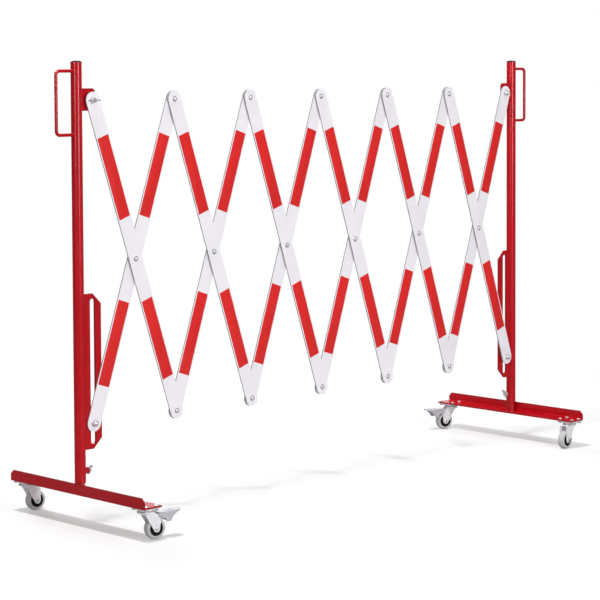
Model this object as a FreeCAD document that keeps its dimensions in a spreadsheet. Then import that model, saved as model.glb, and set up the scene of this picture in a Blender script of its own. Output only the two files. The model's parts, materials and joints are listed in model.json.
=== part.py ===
"""Mobile expanding barrier: two posts on rolling feet, joined by a scissor lattice of flat bars.

Frame: +Z up, floor at Z = 0, X along the barrier, origin midway between the posts.
The front, where the heads of the pivot bolts show, faces -Y. Lengths are in millimetres.
"""
import FreeCAD, Part
import math
import os

import Sketcher
from FreeCAD import Vector

SIZES = {
    # posts
    "post_spacing": 1613.0,
    "post_dia": 26.9,
    "post_wall": 2.3,
    "post_above": 90.0,
    "cap_rise": 3.5,
    "cap_plug": 14.0,
    "cap_fit": 0.1,
    # lattice
    "bar_pitch": 810.0,
    "bar_width": 40.0,
    "bar_thick": 3.0,
    "lattice_clear": 138.5,
    "pivot_inset": 37.0,
    "layer_gap": 3.0,
    "plate_gap": 0.5,
    "play": 0.2,
    "hole_fit": 0.1,
    # pivot bolts between the bars
    "pin_dia": 6.0,
    "pin_tail": 1.5,
    "washer_dia": 14.0,
    "washer_thick": 1.0,
    "dome_dia": 11.0,
    "dome_rise": 3.5,
    "nut_width": 10.0,
    "nut_thick": 5.0,
    # heavier bolts that tie the lattice to the posts
    "tie_dia": 8.0,
    "tie_washer_dia": 17.0,
    "tie_washer_thick": 1.2,
    "tie_nut_width": 13.0,
    "tie_nut_thick": 6.5,
    "tie_head_thick": 5.5,
    "acorn_dia": 12.0,
    "acorn_rise": 5.0,
    # welded plates on the posts
    "plate_thick": 5.0,
    "plate_set": 3.5,
    "bracket_margin": 14.0,
    "bracket_hang": 25.0,
    "bracket_rise": 28.0,
    "bracket_corner": 6.0,
    "slide_down": 42.0,
    "slide_up": 290.5,
    "slot_width": 15.0,
    "slot_rim": 19.5,
    "slot_margin": 26.0,
    "plate_chamfer": 25.0,
    "slide_fit": 0.2,
    "slide_play": 0.3,
    "slide_washer_dia": 24.0,
    "slide_washer_thick": 1.5,
    # grab handles
    "rod_dia": 8.0,
    "handle_reach": 60.5,
    "handle_drop": 21.0,
    "handle_span": 150.0,
    "handle_bend": 10.0,
    # wing nut and clamp screws
    "wing_hub_dia": 15.0,
    "wing_hub_rise": 6.0,
    "wing_rise": 10.0,
    "wing_span": 31.0,
    "wing_thick": 3.0,
    "clamp_span": 25.0,
    "clamp_rise": 27.0,
    "boss_dia": 15.0,
    "boss_reach": 23.0,
    # feet
    "foot_length": 500.0,
    "foot_leg": 26.5,
    "foot_thick": 4.0,
    "foot_outer": 16.7,
    "foot_width": 55.0,
    "foot_bend": 3.0,
    "foot_chamfer": 10.0,
    "spigot_dia": 21.3,
    "spigot_wall": 2.0,
    "spigot_rise": 167.5,
    # castor fixing
    "castor_inset": 27.0,
    "castor_rise": 26.5,
    "bolts_long": 42.0,
    "bolts_wide": 31.0,
    "plate_rim_long": 5.0,
    "plate_rim_wide": 6.5,
    "plate_sheet": 2.0,
    "fix_dia": 6.0,
    "fix_head_dia": 10.0,
    "fix_head_rise": 3.4,
    "fix_nut_thick": 4.6,
    # castor
    "cup_clear": 0.8,
    "cup_taper": 2.0,
    "cup_rise": 6.5,
    "race_rim": 0.5,
    "race_gap": 0.5,
    "race_thick": 2.0,
    "fork_sheet": 2.0,
    "fork_gap": 0.3,
    "skirt": 6.0,
    "fork_neck": 6.5,
    "lug_radius": 8.5,
    "kingpin_dia": 10.0,
    "kingpin_head": 16.0,
    "kingpin_rise": 2.5,
    "trail": 24.0,
    "wheel_dia": 50.0,
    "tyre_width": 18.0,
    "tyre_thick": 7.5,
    "tyre_round": 3.5,
    "hub_dia": 15.0,
    "hub_proud": 0.8,
    "web_width": 12.0,
    "axle_dia": 6.0,
    "axle_fit": 0.08,
    "axle_head_dia": 10.0,
    "axle_head_rise": 3.0,
    # brake pedal: the pin is placed from the axle and the crown, the rest from the pin
    "pedal_back": 12.0,
    "pedal_drop": 9.5,
    "pedal_pin_dia": 5.0,
    "pedal_gap": 0.4,
    "pedal_sheet": 1.5,
    "pedal_heel": 8.0,
    "pedal_tip": 54.0,
    "pedal_rise": 8.5,
    "pedal_ear": 6.5,
    "pedal_toe": 13.0,
    "pedal_lip": 14.0,
    "lip_rise": 2.0,
    "pedal_corner": 7.0,
    "pedal_hang": 15.0,
    "horn_rise": 4.0,
    "horn_gap": 3.0,
    "web_tuck": 1.0,
    "shoe_gap": 2.3,
    "shoe_width": 14.0,
    "shoe_depth": 6.5,
    "shoe_thick": 5.0,
}

UNITS = 6
LEFT = -1
RIGHT = 1
# headings of the four trailing wheels, in degrees from +X, as the castors stand at rest
CASTORS = {
    "front_left": (LEFT, -1, -10.0, True),
    "back_left": (LEFT, 1, -6.0, False),
    "front_right": (RIGHT, -1, 185.0, False),
    "back_right": (RIGHT, 1, 162.0, True),
}
# how far the ears of the clamp screws stand from the vertical, in degrees
CLAMP_TILT = 30.0
# turns that carry a piece drawn along its own +Z to each direction
DIRECTIONS = {
    "up": ((0, 0, 1), 0),
    "down": ((1, 0, 0), 180),
    "front": ((1, 0, 0), 90),
    "back": ((1, 0, 0), -90),
    "right": ((0, 1, 0), 90),
    "left": ((0, 1, 0), -90),
}


class Size:
    """A length together with the sheet expression that gives it."""

    def __init__(self, number, text):
        self.number = float(number)
        self.text = text

    def __add__(self, other):
        return Size(self.number + number_of(other), f"({self.text} + {text_of(other)})")

    def __sub__(self, other):
        return Size(self.number - number_of(other), f"({self.text} - {text_of(other)})")

    def __mul__(self, other):
        return Size(self.number * number_of(other), f"({self.text} * {text_of(other)})")

    def __truediv__(self, other):
        return Size(self.number / number_of(other), f"({self.text} / {text_of(other)})")

    def __radd__(self, other):
        return Size(number_of(other) + self.number, f"({text_of(other)} + {self.text})")

    def __rsub__(self, other):
        return Size(number_of(other) - self.number, f"({text_of(other)} - {self.text})")

    def __rmul__(self, other):
        return self * other

    def __neg__(self):
        return self * -1


def number_of(value):
    return value.number if isinstance(value, Size) else float(value)


def text_of(value):
    return value.text if isinstance(value, Size) else f"({float(value)!r})"


def root_of(value):
    return Size(math.sqrt(value.number), f"sqrt({value.text})")


def arcsine_of(value):
    return Size(math.degrees(math.asin(value.number)), f"asin({value.text})")


def make_sheet(doc):
    """Write every driving dimension into the sheet and return it as a Size by name."""
    sheet = doc.addObject("Spreadsheet::Sheet", "Sizes")
    sizes = {}
    for row, (name, number) in enumerate(SIZES.items(), start=1):
        sheet.set(f"A{row}", name)
        sheet.set(f"B{row}", str(number))
        sheet.setAlias(f"B{row}", name)
        sizes[name] = Size(number, f"Sizes.{name}")
    doc.recompute()
    return sizes


doc = FreeCAD.newDocument("barrier")
size = make_sheet(doc)
nodes = []


def keep(thing, label):
    """Mark an object as a sub-part: its label is the name of its file."""
    thing.Label = label
    nodes.append(thing)
    return thing


# ---------------------------------------------------------------- placing and binding

def bind(thing, prop, value):
    if isinstance(value, Size):
        thing.setExpression(prop, value.text)
    else:
        setattr(thing, prop, value)


def vector_text(spot):
    return f"create(<<vector>>; {'; '.join(text_of(value) for value in spot)})"


def place(thing, spot, axis=(0, 0, 1), angle=0):
    """Bind a placement: the piece turns by angle about axis, then moves to spot."""
    turn = f"create(<<rotation>>; {vector_text(axis)}; {text_of(angle)})"
    thing.setExpression("Placement", f"create(<<placement>>; {vector_text(spot)}; {turn})")
    return thing


def aim(thing, spot, direction):
    axis, angle = DIRECTIONS[direction]
    return place(thing, spot, axis, angle)


def cylinder(spot, diameter, length, direction="up"):
    rod = doc.addObject("Part::Cylinder", "cylinder")
    bind(rod, "Radius", diameter / 2)
    bind(rod, "Height", length)
    return aim(rod, spot, direction)


def hexagon(spot, across, length, direction="up"):
    prism = doc.addObject("Part::Prism", "hexagon")
    prism.Polygon = 6
    bind(prism, "Circumradius", across / math.sqrt(3))
    bind(prism, "Height", length)
    return aim(prism, spot, direction)


def box(low, high):
    block = doc.addObject("Part::Box", "box")
    for prop, start, end in zip(("Length", "Width", "Height"), low, high):
        bind(block, prop, end - start)
    return place(block, low)


def cut(base, *tools):
    for tool in tools:
        step = doc.addObject("Part::Cut", "cut")
        step.Base = base
        step.Tool = tool
        base = step
    return base


def fuse(*shapes):
    union = doc.addObject("Part::MultiFuse", "fuse")
    union.Shapes = list(shapes)
    union.Refine = True
    return union


def common(first, second):
    overlap = doc.addObject("Part::Common", "common")
    overlap.Base = first
    overlap.Tool = second
    return overlap


def group(shapes):
    """Several separate solids that share one node."""
    bundle = doc.addObject("Part::Compound", "group")
    bundle.Links = list(shapes)
    return bundle


def ring(spot, outer, inner, length, direction):
    return cut(cylinder(spot, outer, length, direction), cylinder(spot, inner, length, direction))


# ---------------------------------------------------------------- sketches

def new_sketch(body, role):
    sketch = body.newObject("Sketcher::SketchObject", "sketch")
    origin_plane = next(item for item in body.Origin.OriginFeatures if item.Role == role)
    sketch.AttachmentSupport = [(origin_plane, "")]
    sketch.MapMode = "FlatFace"
    return sketch


def constrain(sketch, *terms):
    """Add one constraint whose last term is its value, bound to the sheet if it is a Size."""
    value = terms[-1]
    index = sketch.addConstraint(Sketcher.Constraint(*terms[:-1], number_of(value)))
    if isinstance(value, Size):
        sketch.setExpression(f"Constraints[{index}]", value.text)


def pin_down(sketch, geometry, position, point):
    """Hold a point of the sketch at its distances from the origin."""
    for kind, axis, value in (("DistanceX", -2, point[0]), ("DistanceY", -1, point[1])):
        if isinstance(value, Size) or value:
            constrain(sketch, kind, -1, 1, geometry, position, value)
        else:
            sketch.addConstraint(Sketcher.Constraint("PointOnObject", geometry, position, axis))


def add_arc(sketch, start, end, radius):
    """Arc of less than half a turn; it turns left on its way when the radius is positive."""
    reach = abs(number_of(radius))
    side = 1 if number_of(radius) > 0 else -1
    along = end - start
    middle = (start + end) * 0.5
    rise = math.sqrt(max(0.0, reach ** 2 - along.Length ** 2 / 4))
    normal = Vector(-along.y, along.x, 0).normalize()
    centre = middle + normal * (rise * side)
    first, last = (start, end) if side > 0 else (end, start)
    angles = [math.atan2(point.y - centre.y, point.x - centre.x) for point in (first, last)]
    circle = Part.Circle(centre, Vector(0, 0, 1), reach)
    arc = sketch.addGeometry(Part.ArcOfCircle(circle, *angles))
    constrain(sketch, "Radius", arc, radius * side)
    return (arc, 1, 2) if side > 0 else (arc, 2, 1)


def outline(sketch, points, closed=True):
    """Lines and arcs from point to point. A point is (x, y), or (x, y, radius) where an arc starts."""
    edges = []
    last = len(points) if closed else len(points) - 1
    for index in range(last):
        here = points[index]
        ahead = points[(index + 1) % len(points)]
        start, end = (Vector(number_of(spot[0]), number_of(spot[1]), 0) for spot in (here, ahead))
        if len(here) == 3:
            edges.append(add_arc(sketch, start, end, here[2]))
        else:
            edges.append((sketch.addGeometry(Part.LineSegment(start, end)), 1, 2))
    for index, (geometry, _, tail) in enumerate(edges):
        if closed or index + 1 < last:
            following, head, _ = edges[(index + 1) % last]
            sketch.addConstraint(Sketcher.Constraint("Coincident", geometry, tail, following, head))
    for (geometry, head, _), point in zip(edges, points):
        pin_down(sketch, geometry, head, point)
    if not closed:
        geometry, _, tail = edges[-1]
        pin_down(sketch, geometry, tail, points[-1])


def circle(sketch, x, y, diameter):
    spot = Vector(number_of(x), number_of(y), 0)
    geometry = sketch.addGeometry(Part.Circle(spot, Vector(0, 0, 1), number_of(diameter) / 2))
    pin_down(sketch, geometry, 3, (x, y))
    constrain(sketch, "Diameter", geometry, diameter)


def stadium(sketch, x, low, high, width):
    """Two upright lines closed by round ends centred at the low and the high point."""
    radius = number_of(width) / 2
    normal = Vector(0, 0, 1)
    centres = [Vector(number_of(x), number_of(y), 0) for y in (high, low)]
    top = sketch.addGeometry(Part.ArcOfCircle(Part.Circle(centres[0], normal, radius), 0, math.pi))
    bottom = sketch.addGeometry(
        Part.ArcOfCircle(Part.Circle(centres[1], normal, radius), math.pi, 2 * math.pi))
    shift = Vector(radius, 0, 0)
    west = sketch.addGeometry(Part.LineSegment(centres[0] - shift, centres[1] - shift))
    east = sketch.addGeometry(Part.LineSegment(centres[1] + shift, centres[0] + shift))
    for first, at_first, second, at_second in (
            (top, 2, west, 1), (west, 2, bottom, 1), (bottom, 2, east, 1), (east, 2, top, 1)):
        sketch.addConstraint(Sketcher.Constraint("Tangent", first, at_first, second, at_second))
    pin_down(sketch, top, 3, (x, high))
    pin_down(sketch, bottom, 3, (x, low))
    constrain(sketch, "Radius", top, width / 2)
    sketch.addConstraint(Sketcher.Constraint("Equal", top, bottom))


# ---------------------------------------------------------------- sketched pieces

def pad(draw, role, length, both_ways=False, reverse=False):
    """A body with one pad: draw(sketch) draws its profile on the body's own origin plane."""
    body = doc.addObject("PartDesign::Body", "body")
    sketch = new_sketch(body, role)
    draw(sketch)
    feature = body.newObject("PartDesign::Pad", "pad")
    feature.Profile = sketch
    bind(feature, "Length", length)
    feature.SideType = "Symmetric" if both_ways else "One side"
    feature.Reversed = reverse
    return body


def turned(points):
    """A body turned about its own Z axis from an outline of (radius, height) points."""
    body = doc.addObject("PartDesign::Body", "body")
    sketch = new_sketch(body, "XZ_Plane")
    outline(sketch, points)
    feature = body.newObject("PartDesign::Revolution", "turn")
    feature.Profile = sketch
    feature.ReferenceAxis = (sketch, ["V_Axis"])
    feature.Angle = 360
    return body


def bent_rod(points, diameter):
    """A round rod along an open path in its own XZ plane; it starts along X at the first point."""
    body = doc.addObject("PartDesign::Body", "body")
    path = new_sketch(body, "XZ_Plane")
    outline(path, points, closed=False)
    section = new_sketch(body, "YZ_Plane")
    circle(section, 0, points[0][1], diameter)
    feature = body.newObject("PartDesign::AdditivePipe", "pipe")
    feature.Profile = section
    feature.Spine = (path, [f"Edge{number}" for number in range(1, len(points))])
    return body


def dome_radius(diameter, rise):
    """Radius of the ball whose cap has this diameter and rise."""
    return (diameter * diameter / 4 + rise * rise) / (rise * 2)


# ---------------------------------------------------------------- places worked out from the sizes

half_spacing = size["post_spacing"] / 2
foot_under = size["wheel_dia"] + size["castor_rise"]
foot_top = foot_under + size["foot_leg"]
bar_run = (size["post_spacing"] - size["pivot_inset"] * 2) / UNITS
bar_drop = root_of(size["bar_pitch"] * size["bar_pitch"] - bar_run * bar_run)
bar_lean = arcsine_of(bar_run / size["bar_pitch"])
first_pivot = size["pivot_inset"] - half_spacing
pivot_low = foot_top + size["lattice_clear"]
pivot_high = pivot_low + bar_drop
post_top = pivot_high + size["post_above"]
# depths in front of the plane through both post axes
plate_back = size["plate_set"] - size["plate_thick"] / 2
plate_front = plate_back + size["plate_thick"]
rear_bar_back = plate_front + size["plate_gap"]
rear_bar_front = rear_bar_back + size["bar_thick"]
front_bar_back = rear_bar_front + size["layer_gap"]
front_bar_front = front_bar_back + size["bar_thick"]


def at_depth(x, depth, z):
    """A point given by its depth in front of the post plane."""
    return (x, -depth, z)


# ---------------------------------------------------------------- lattice

def lattice_bar(hole_dias):
    """Flat bar with round ends, hung from its top hole, with a hole at each end and midway."""
    drops = (0, -(size["bar_pitch"] / 2), -size["bar_pitch"])

    def draw(sketch):
        stadium(sketch, 0, -size["bar_pitch"], 0, size["bar_width"])
        for drop, diameter in zip(drops, hole_dias):
            circle(sketch, 0, drop, diameter + size["hole_fit"] * 2)

    return pad(draw, "XZ_Plane", size["bar_thick"])


def make_bars():
    pin, tie = size["pin_dia"], size["tie_dia"]
    for unit in range(UNITS):
        front_holes = (tie if unit == 0 else pin, pin, tie if unit == UNITS - 1 else pin)
        rear_holes = (tie if unit == UNITS - 1 else pin, pin, tie if unit == 0 else pin)
        front = lattice_bar(front_holes)
        top = at_depth(first_pivot + bar_run * unit, front_bar_back, pivot_high)
        keep(place(front, top, (0, 1, 0), -bar_lean), f"front_bar_{unit + 1}")
        rear = lattice_bar(rear_holes)
        top = at_depth(first_pivot + bar_run * (unit + 1), rear_bar_back, pivot_high)
        keep(place(rear, top, (0, 1, 0), bar_lean), f"back_bar_{unit + 1}")


def pin_stack(x, z):
    """Bolt, washers, spacer and nut of one pivot: five solids on one axis."""
    bore = size["pin_dia"] + size["hole_fit"] * 2
    washer_front = front_bar_front + size["washer_thick"]
    washer_back = rear_bar_back - size["play"]
    nut_front = washer_back - size["washer_thick"]
    nut_back = nut_front - size["nut_thick"]
    tail = nut_back - size["pin_tail"]
    spacer_back = rear_bar_front + size["play"]
    pin = size["pin_dia"] / 2
    head = size["dome_dia"] / 2
    bolt = turned([
        (0, 0),
        (pin, 0),
        (pin, washer_front - tail),
        (head, washer_front - tail),
        (head, washer_front - tail + size["washer_thick"], dome_radius(
            size["dome_dia"], size["dome_rise"] - size["washer_thick"])),
        (0, washer_front - tail + size["dome_rise"]),
    ])
    nut = hexagon(at_depth(x, nut_back, z), size["nut_width"], size["nut_thick"], "front")
    nut_bore = cylinder(at_depth(x, nut_back, z), bore, size["nut_thick"], "front")
    return [
        aim(bolt, at_depth(x, tail, z), "front"),
        ring(at_depth(x, front_bar_front, z), size["washer_dia"], bore, size["washer_thick"], "front"),
        ring(at_depth(x, spacer_back, z), size["washer_dia"], bore, front_bar_back - spacer_back, "front"),
        ring(at_depth(x, nut_front, z), size["washer_dia"], bore, size["washer_thick"], "front"),
        cut(nut, nut_bore),
    ]


def tie_bolt(x, z, head_front, end):
    """Hexagon bolt from behind: its head ends at head_front and its shank at end."""
    head_back = head_front - size["tie_head_thick"]
    return fuse(
        hexagon(at_depth(x, head_back, z), size["tie_nut_width"], size["tie_head_thick"], "front"),
        cylinder(at_depth(x, head_back, z), size["tie_dia"], end - head_back, "front"))


def tie_ring(x, z, back, front, outer):
    """Washer or bush on a tie bolt, between two depths."""
    bore = size["tie_dia"] + size["hole_fit"] * 2
    return ring(at_depth(x, back, z), outer, bore, front - back, "front")


def acorn_nut(x, z, back):
    """Closed hexagon nut with a domed cap, and the bolt's end inside it."""
    seat = size["tie_nut_thick"]
    bore = size["tie_dia"] + size["hole_fit"] * 2
    skirt = size["acorn_dia"] / 2
    cap = turned([
        (0, seat),
        (skirt, seat),
        (skirt, seat + size["washer_thick"], dome_radius(
            size["acorn_dia"], size["acorn_rise"] - size["washer_thick"])),
        (0, seat + size["acorn_rise"]),
    ])
    aim(cap, at_depth(x, back, z), "front")
    body = hexagon(at_depth(x, back, z), size["tie_nut_width"], seat, "front")
    return cut(fuse(body, cap), cylinder(at_depth(x, back, z), bore, seat, "front"))


def tie_front(x, z, bar_front):
    """Front washer and acorn nut on a bar, and the depth where the bolt ends inside the nut."""
    nut_back = bar_front + size["tie_washer_thick"]
    parts = [
        tie_ring(x, z, bar_front, nut_back, size["tie_washer_dia"]),
        acorn_nut(x, z, nut_back),
    ]
    return parts, nut_back + size["tie_nut_thick"] - size["play"]


def slide_stack(x, bar_back, bar_front):
    """Bolt, bush and washers of a lower bar end, which runs up and down the slotted plate."""
    z = pivot_low
    bush_back = plate_back - size["slide_play"]
    washer_back = bush_back - size["slide_washer_thick"]
    parts, end = tie_front(x, z, bar_front)
    bush = size["slot_width"] - size["slide_fit"] * 2
    return parts + [
        tie_bolt(x, z, washer_back, end),
        tie_ring(x, z, washer_back, bush_back, size["slide_washer_dia"]),
        tie_ring(x, z, bush_back, bar_back, bush),
    ]


def make_pivots():
    for unit in range(UNITS):
        top_x = first_pivot + bar_run * unit
        middle = (top_x + bar_run / 2, pivot_high - bar_drop / 2)
        spots = [middle]
        if unit > 0:
            spots.append((top_x, pivot_high))
        if unit < UNITS - 1:
            spots.append((top_x + bar_run, pivot_low))
        solids = [solid for spot in spots for solid in pin_stack(*spot)]
        if unit == UNITS - 1:
            solids += slide_stack(top_x + bar_run, front_bar_back, front_bar_front)
        keep(group(solids), f"pivot_bolts_{unit + 1}")
    keep(group(slide_stack(first_pivot, rear_bar_back, rear_bar_front)), "left_slide_bolt")


def make_top_ties():
    """Left: bolt, bush and washer under the wing nut. Right: bolt, washers and acorn nut."""
    x, z = first_pivot, pivot_high
    washer_back = front_bar_front + size["play"]
    washer_front = washer_back + size["tie_washer_thick"]
    nut_back = washer_front + size["play"]
    keep(group([
        tie_bolt(x, z, plate_back, nut_back + size["wing_hub_rise"] + size["pin_tail"]),
        tie_ring(x, z, plate_front, front_bar_back - size["play"], size["tie_washer_dia"]),
        tie_ring(x, z, washer_back, washer_front, size["tie_washer_dia"]),
    ]), "left_top_bolt")
    nut_spot = at_depth(x, nut_back, z)
    bore = size["tie_dia"] + size["hole_fit"] * 2
    keep(cut(
        aim(wings(size["wing_span"]), nut_spot, "front"),
        cylinder(nut_spot, bore, size["wing_rise"], "front")), "left_wing_nut")
    x = -first_pivot
    parts, end = tie_front(x, z, rear_bar_front + size["play"])
    keep(group(parts + [
        tie_bolt(x, z, plate_back, end),
        tie_ring(x, z, plate_front, rear_bar_back - size["play"], size["tie_washer_dia"]),
    ]), "right_top_bolt")


def wings(span, tilt=0):
    """Round hub with two ears that rise along its own Z and spread at tilt degrees from its own X."""
    hub = size["wing_hub_dia"] / 2
    rise = size["wing_hub_rise"]
    tip = span / 2
    high = size["wing_rise"]

    def draw(sketch):
        for side in (-1, 1):
            outline(sketch, [
                (hub * side * 0.6, rise * 0.15),
                (hub * side, rise * 0.3),
                (tip * side, high - rise),
                (tip * side, high),
                ((tip - rise * 0.6) * side, high),
                (hub * side * 0.8, rise * 0.9),
                (hub * side * 0.6, rise * 0.9),
            ])

    core = turned([(0, 0), (hub, 0), (hub, rise * 0.3), (hub * 0.8, rise), (0, rise)])
    ears = pad(draw, "XZ_Plane", size["wing_thick"], both_ways=True)
    return fuse(core, place(ears, (0, 0, 0), angle=tilt))


# ---------------------------------------------------------------- posts

def make_post(side, name):
    """Tube with a threaded boss for the clamp screw, its cap and its welded handle and plates."""
    x = half_spacing * side
    inward = "right" if side == LEFT else "left"
    height = post_top - foot_top
    base = (x, 0, foot_top)
    boss_spot = (x, 0, foot_top + size["clamp_rise"])
    screw_bore = size["tie_dia"] + size["hole_fit"] * 2
    shell = fuse(
        cylinder(base, size["post_dia"], height),
        cylinder(boss_spot, size["boss_dia"], size["boss_reach"], inward))
    keep(cut(
        shell,
        cylinder(base, size["post_dia"] - size["post_wall"] * 2, height),
        cylinder(boss_spot, screw_bore, size["boss_reach"], inward)), f"{name}_post")
    make_cap(x, name)
    make_handle(side, name)
    make_bracket(side, name)
    make_slot_plate(side, name)
    make_clamp_screw(side, name)


def make_cap(x, name):
    radius = size["post_dia"] / 2
    plug = radius - size["post_wall"] - size["cap_fit"]
    brim = size["cap_rise"] / 3
    keep(place(turned([
        (0, -size["cap_plug"]),
        (plug, -size["cap_plug"]),
        (plug, 0),
        (radius, 0),
        (radius, brim, dome_radius(size["post_dia"], size["cap_rise"] - brim)),
        (0, size["cap_rise"]),
    ]), (x, 0, post_top)), f"{name}_post_cap")


def post_core(side):
    """The room that the post takes, which a welded piece is fitted round."""
    return cylinder((half_spacing * side, 0, foot_top), size["post_dia"],
                    post_top - foot_top)


def make_handle(side, name):
    """Round rod bent to a grab handle, welded to the outer side of the post."""
    reach, bend = size["handle_reach"], size["handle_bend"]
    half = size["handle_span"] / 2
    rod = bent_rod([
        (0, half),
        ((reach - bend) * side, half, bend * -side),
        (reach * side, half - bend),
        (reach * side, bend - half, bend * -side),
        ((reach - bend) * side, -half),
        (0, -half),
    ], size["rod_dia"])
    place(rod, (half_spacing * side, 0, post_top - size["handle_drop"] - half))
    keep(cut(rod, post_core(side)), f"{name}_handle")


def post_plate(side, points, draw_hole):
    """Plate in front of the post axis, fitted round the post. Its outline runs inward from the axis."""
    def draw(sketch):
        outline(sketch, [(point[0] * -side if point[0] else 0, *point[1:]) for point in points])
        draw_hole(sketch)

    plate = pad(draw, "XZ_Plane", size["plate_thick"])
    place(plate, (half_spacing * side, -plate_back, 0))
    return cut(plate, post_core(side))


def make_bracket(side, name):
    """Top bracket: the corner away from the post is rounded off."""
    reach, corner = size["pivot_inset"] + size["bracket_margin"], size["bracket_corner"]
    low, high = pivot_high - size["bracket_hang"], pivot_high + size["bracket_rise"]
    points = [(0, low), (reach, low), (reach, high - corner), (reach - corner, high), (0, high)]

    def hole(sketch):
        circle(sketch, size["pivot_inset"] * -side, pivot_high,
               size["tie_dia"] + size["hole_fit"] * 2)

    keep(post_plate(side, points, hole), f"{name}_pivot_bracket")


def make_slot_plate(side, name):
    """Plate whose long slot guides the lower end of the lattice."""
    reach = size["pivot_inset"] + size["slot_margin"]
    chamfer = size["plate_chamfer"]
    slot_low, slot_high = pivot_low - size["slide_down"], pivot_low + size["slide_up"]
    low, high = slot_low - size["slot_rim"], slot_high + size["slot_rim"]
    points = [(0, low), (reach - chamfer, low), (reach, low + chamfer),
              (reach, high - chamfer), (reach - chamfer, high), (0, high)]

    def slot(sketch):
        stadium(sketch, size["pivot_inset"] * -side, slot_low, slot_high, size["slot_width"])

    keep(post_plate(side, points, slot), f"{name}_slot_plate")


def make_clamp_screw(side, name):
    """Wing screw through the boss that grips the spigot inside the post."""
    inward = "right" if side == LEFT else "left"
    tip = half_spacing * side - (size["spigot_dia"] / 2 + size["play"]) * side
    seat = half_spacing * side - (size["boss_reach"] + size["play"]) * side
    length = size["boss_reach"] - size["spigot_dia"] / 2 + size["wing_hub_rise"] / 2
    height = foot_top + size["clamp_rise"]
    # this turn carries the head's own X axis to the vertical
    head = aim(wings(size["clamp_span"], CLAMP_TILT), (seat, 0, height), inward)
    shank = cylinder((tip, 0, height), size["tie_dia"], length, inward)
    keep(fuse(head, shank), f"{name}_clamp_screw")


# ---------------------------------------------------------------- feet

def castor_spot(side, end):
    """Swivel axis of a castor: under the middle of the flange, near the end of the foot."""
    x = half_spacing * side - (size["foot_width"] / 2 - size["foot_outer"]) * side
    y = (size["foot_length"] / 2 - size["castor_inset"]) * end
    return x, y


def bolt_square(x, y):
    """Axes of the four bolts round a swivel axis."""
    wide, long = size["bolts_wide"] / 2, size["bolts_long"] / 2
    return [(x + wide * across, y + long * along) for across in (-1, 1) for along in (-1, 1)]


def bolt_spots(side):
    """Axes of the eight bolts that hold two castors under one foot."""
    return [spot for end in (-1, 1) for spot in bolt_square(*castor_spot(side, end))]


def make_foot(side, name):
    """Angle section with its upright leg outside, and the spigot that enters the post."""
    outer, inner = size["foot_outer"], size["foot_outer"] - size["foot_thick"]
    under, top = foot_under, foot_top
    flange_top = under + size["foot_thick"]
    flange = size["foot_width"] - outer
    bend = size["foot_bend"]

    def section(sketch):
        outline(sketch, [
            (outer * side, under),
            (-flange * side, under),
            (-flange * side, flange_top),
            ((inner - bend) * side, flange_top, bend * side),
            (inner * side, flange_top + bend),
            (inner * side, top),
            (outer * side, top),
        ])

    def profile(sketch):
        half, chamfer = size["foot_length"] / 2, size["foot_chamfer"]
        outline(sketch, [
            (-half, under), (half, under), (half, top - chamfer),
            (half - chamfer, top), (chamfer - half, top), (-half, top - chamfer)])

    x = half_spacing * side
    angle = place(pad(section, "XZ_Plane", size["foot_length"], both_ways=True), (x, 0, 0))
    ends = place(pad(profile, "YZ_Plane", size["foot_width"] * 2, both_ways=True), (x, 0, 0))
    spigot_bore = size["spigot_dia"] - size["spigot_wall"] * 2
    spigot = ring((x, 0, flange_top), size["spigot_dia"], spigot_bore, size["spigot_rise"], "up")
    holes = [cylinder((x, y, under), size["fix_dia"] + size["hole_fit"] * 2, size["foot_thick"])
             for x, y in bolt_spots(side)]
    keep(cut(fuse(common(angle, ends), spigot), *holes), f"{name}_foot")


def make_castor_bolts(side, name):
    """Domed bolts through flange and castor plate, with hexagon nuts below."""
    nut_top = foot_under - size["plate_sheet"]
    nut_low = nut_top - size["fix_nut_thick"]
    seat = foot_under + size["foot_thick"] - nut_low
    shank, head = size["fix_dia"] / 2, size["fix_head_dia"] / 2
    brim = size["fix_head_rise"] / 3
    solids = []
    for x, y in bolt_spots(side):
        solids.append(place(turned([
            (0, 0),
            (shank, 0),
            (shank, seat),
            (head, seat),
            (head, seat + brim, dome_radius(size["fix_head_dia"], size["fix_head_rise"] - brim)),
            (0, seat + size["fix_head_rise"]),
        ]), (x, y, nut_low)))
        solids.append(cut(
            hexagon((x, y, nut_low), size["nut_width"], size["fix_nut_thick"]),
            cylinder((x, y, nut_low), size["fix_dia"] + size["hole_fit"] * 2, size["fix_nut_thick"])))
    keep(group(solids), f"{name}_castor_bolts")


# ---------------------------------------------------------------- castors

hub_half = size["tyre_width"] / 2 + size["hub_proud"]
fork_inner = hub_half + size["fork_gap"]
fork_outer = fork_inner + size["fork_sheet"]
axle_height = size["wheel_dia"] / 2
tread = size["wheel_dia"] / 2
rim = tread - size["tyre_thick"]
cup_low = foot_under - size["plate_sheet"] - size["cup_rise"]
race_top = cup_low - size["race_gap"]
crown_top = race_top - size["race_thick"]
crown_low = crown_top - size["fork_sheet"]
bolt_circle = root_of(size["bolts_long"] * size["bolts_long"] + size["bolts_wide"] * size["bolts_wide"])
cup_radius = bolt_circle / 2 - size["nut_width"] / math.sqrt(3) - size["cup_clear"]
race_radius = cup_radius - size["race_rim"]
pedal_x = size["trail"] + size["pedal_back"]
pedal_z = crown_low - size["pedal_drop"]
pedal_web = size["trail"] + tread - size["web_tuck"]


def place_on_axle(thing, swivel, heading):
    """Lay a piece drawn along its own +Z on the axle of the castor that heads this way."""
    turn = f"create(<<rotation>>; {text_of(heading)}; 0; 90)"
    swing = f"create(<<rotation>>; {vector_text((0, 0, 1))}; {text_of(heading)})"
    trail = vector_text((size["trail"], 0, axle_height))
    base = f"{vector_text(swivel)} + {swing} * {trail}"
    thing.setExpression("Placement", f"create(<<placement>>; {base}; {turn})")
    return thing


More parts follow.
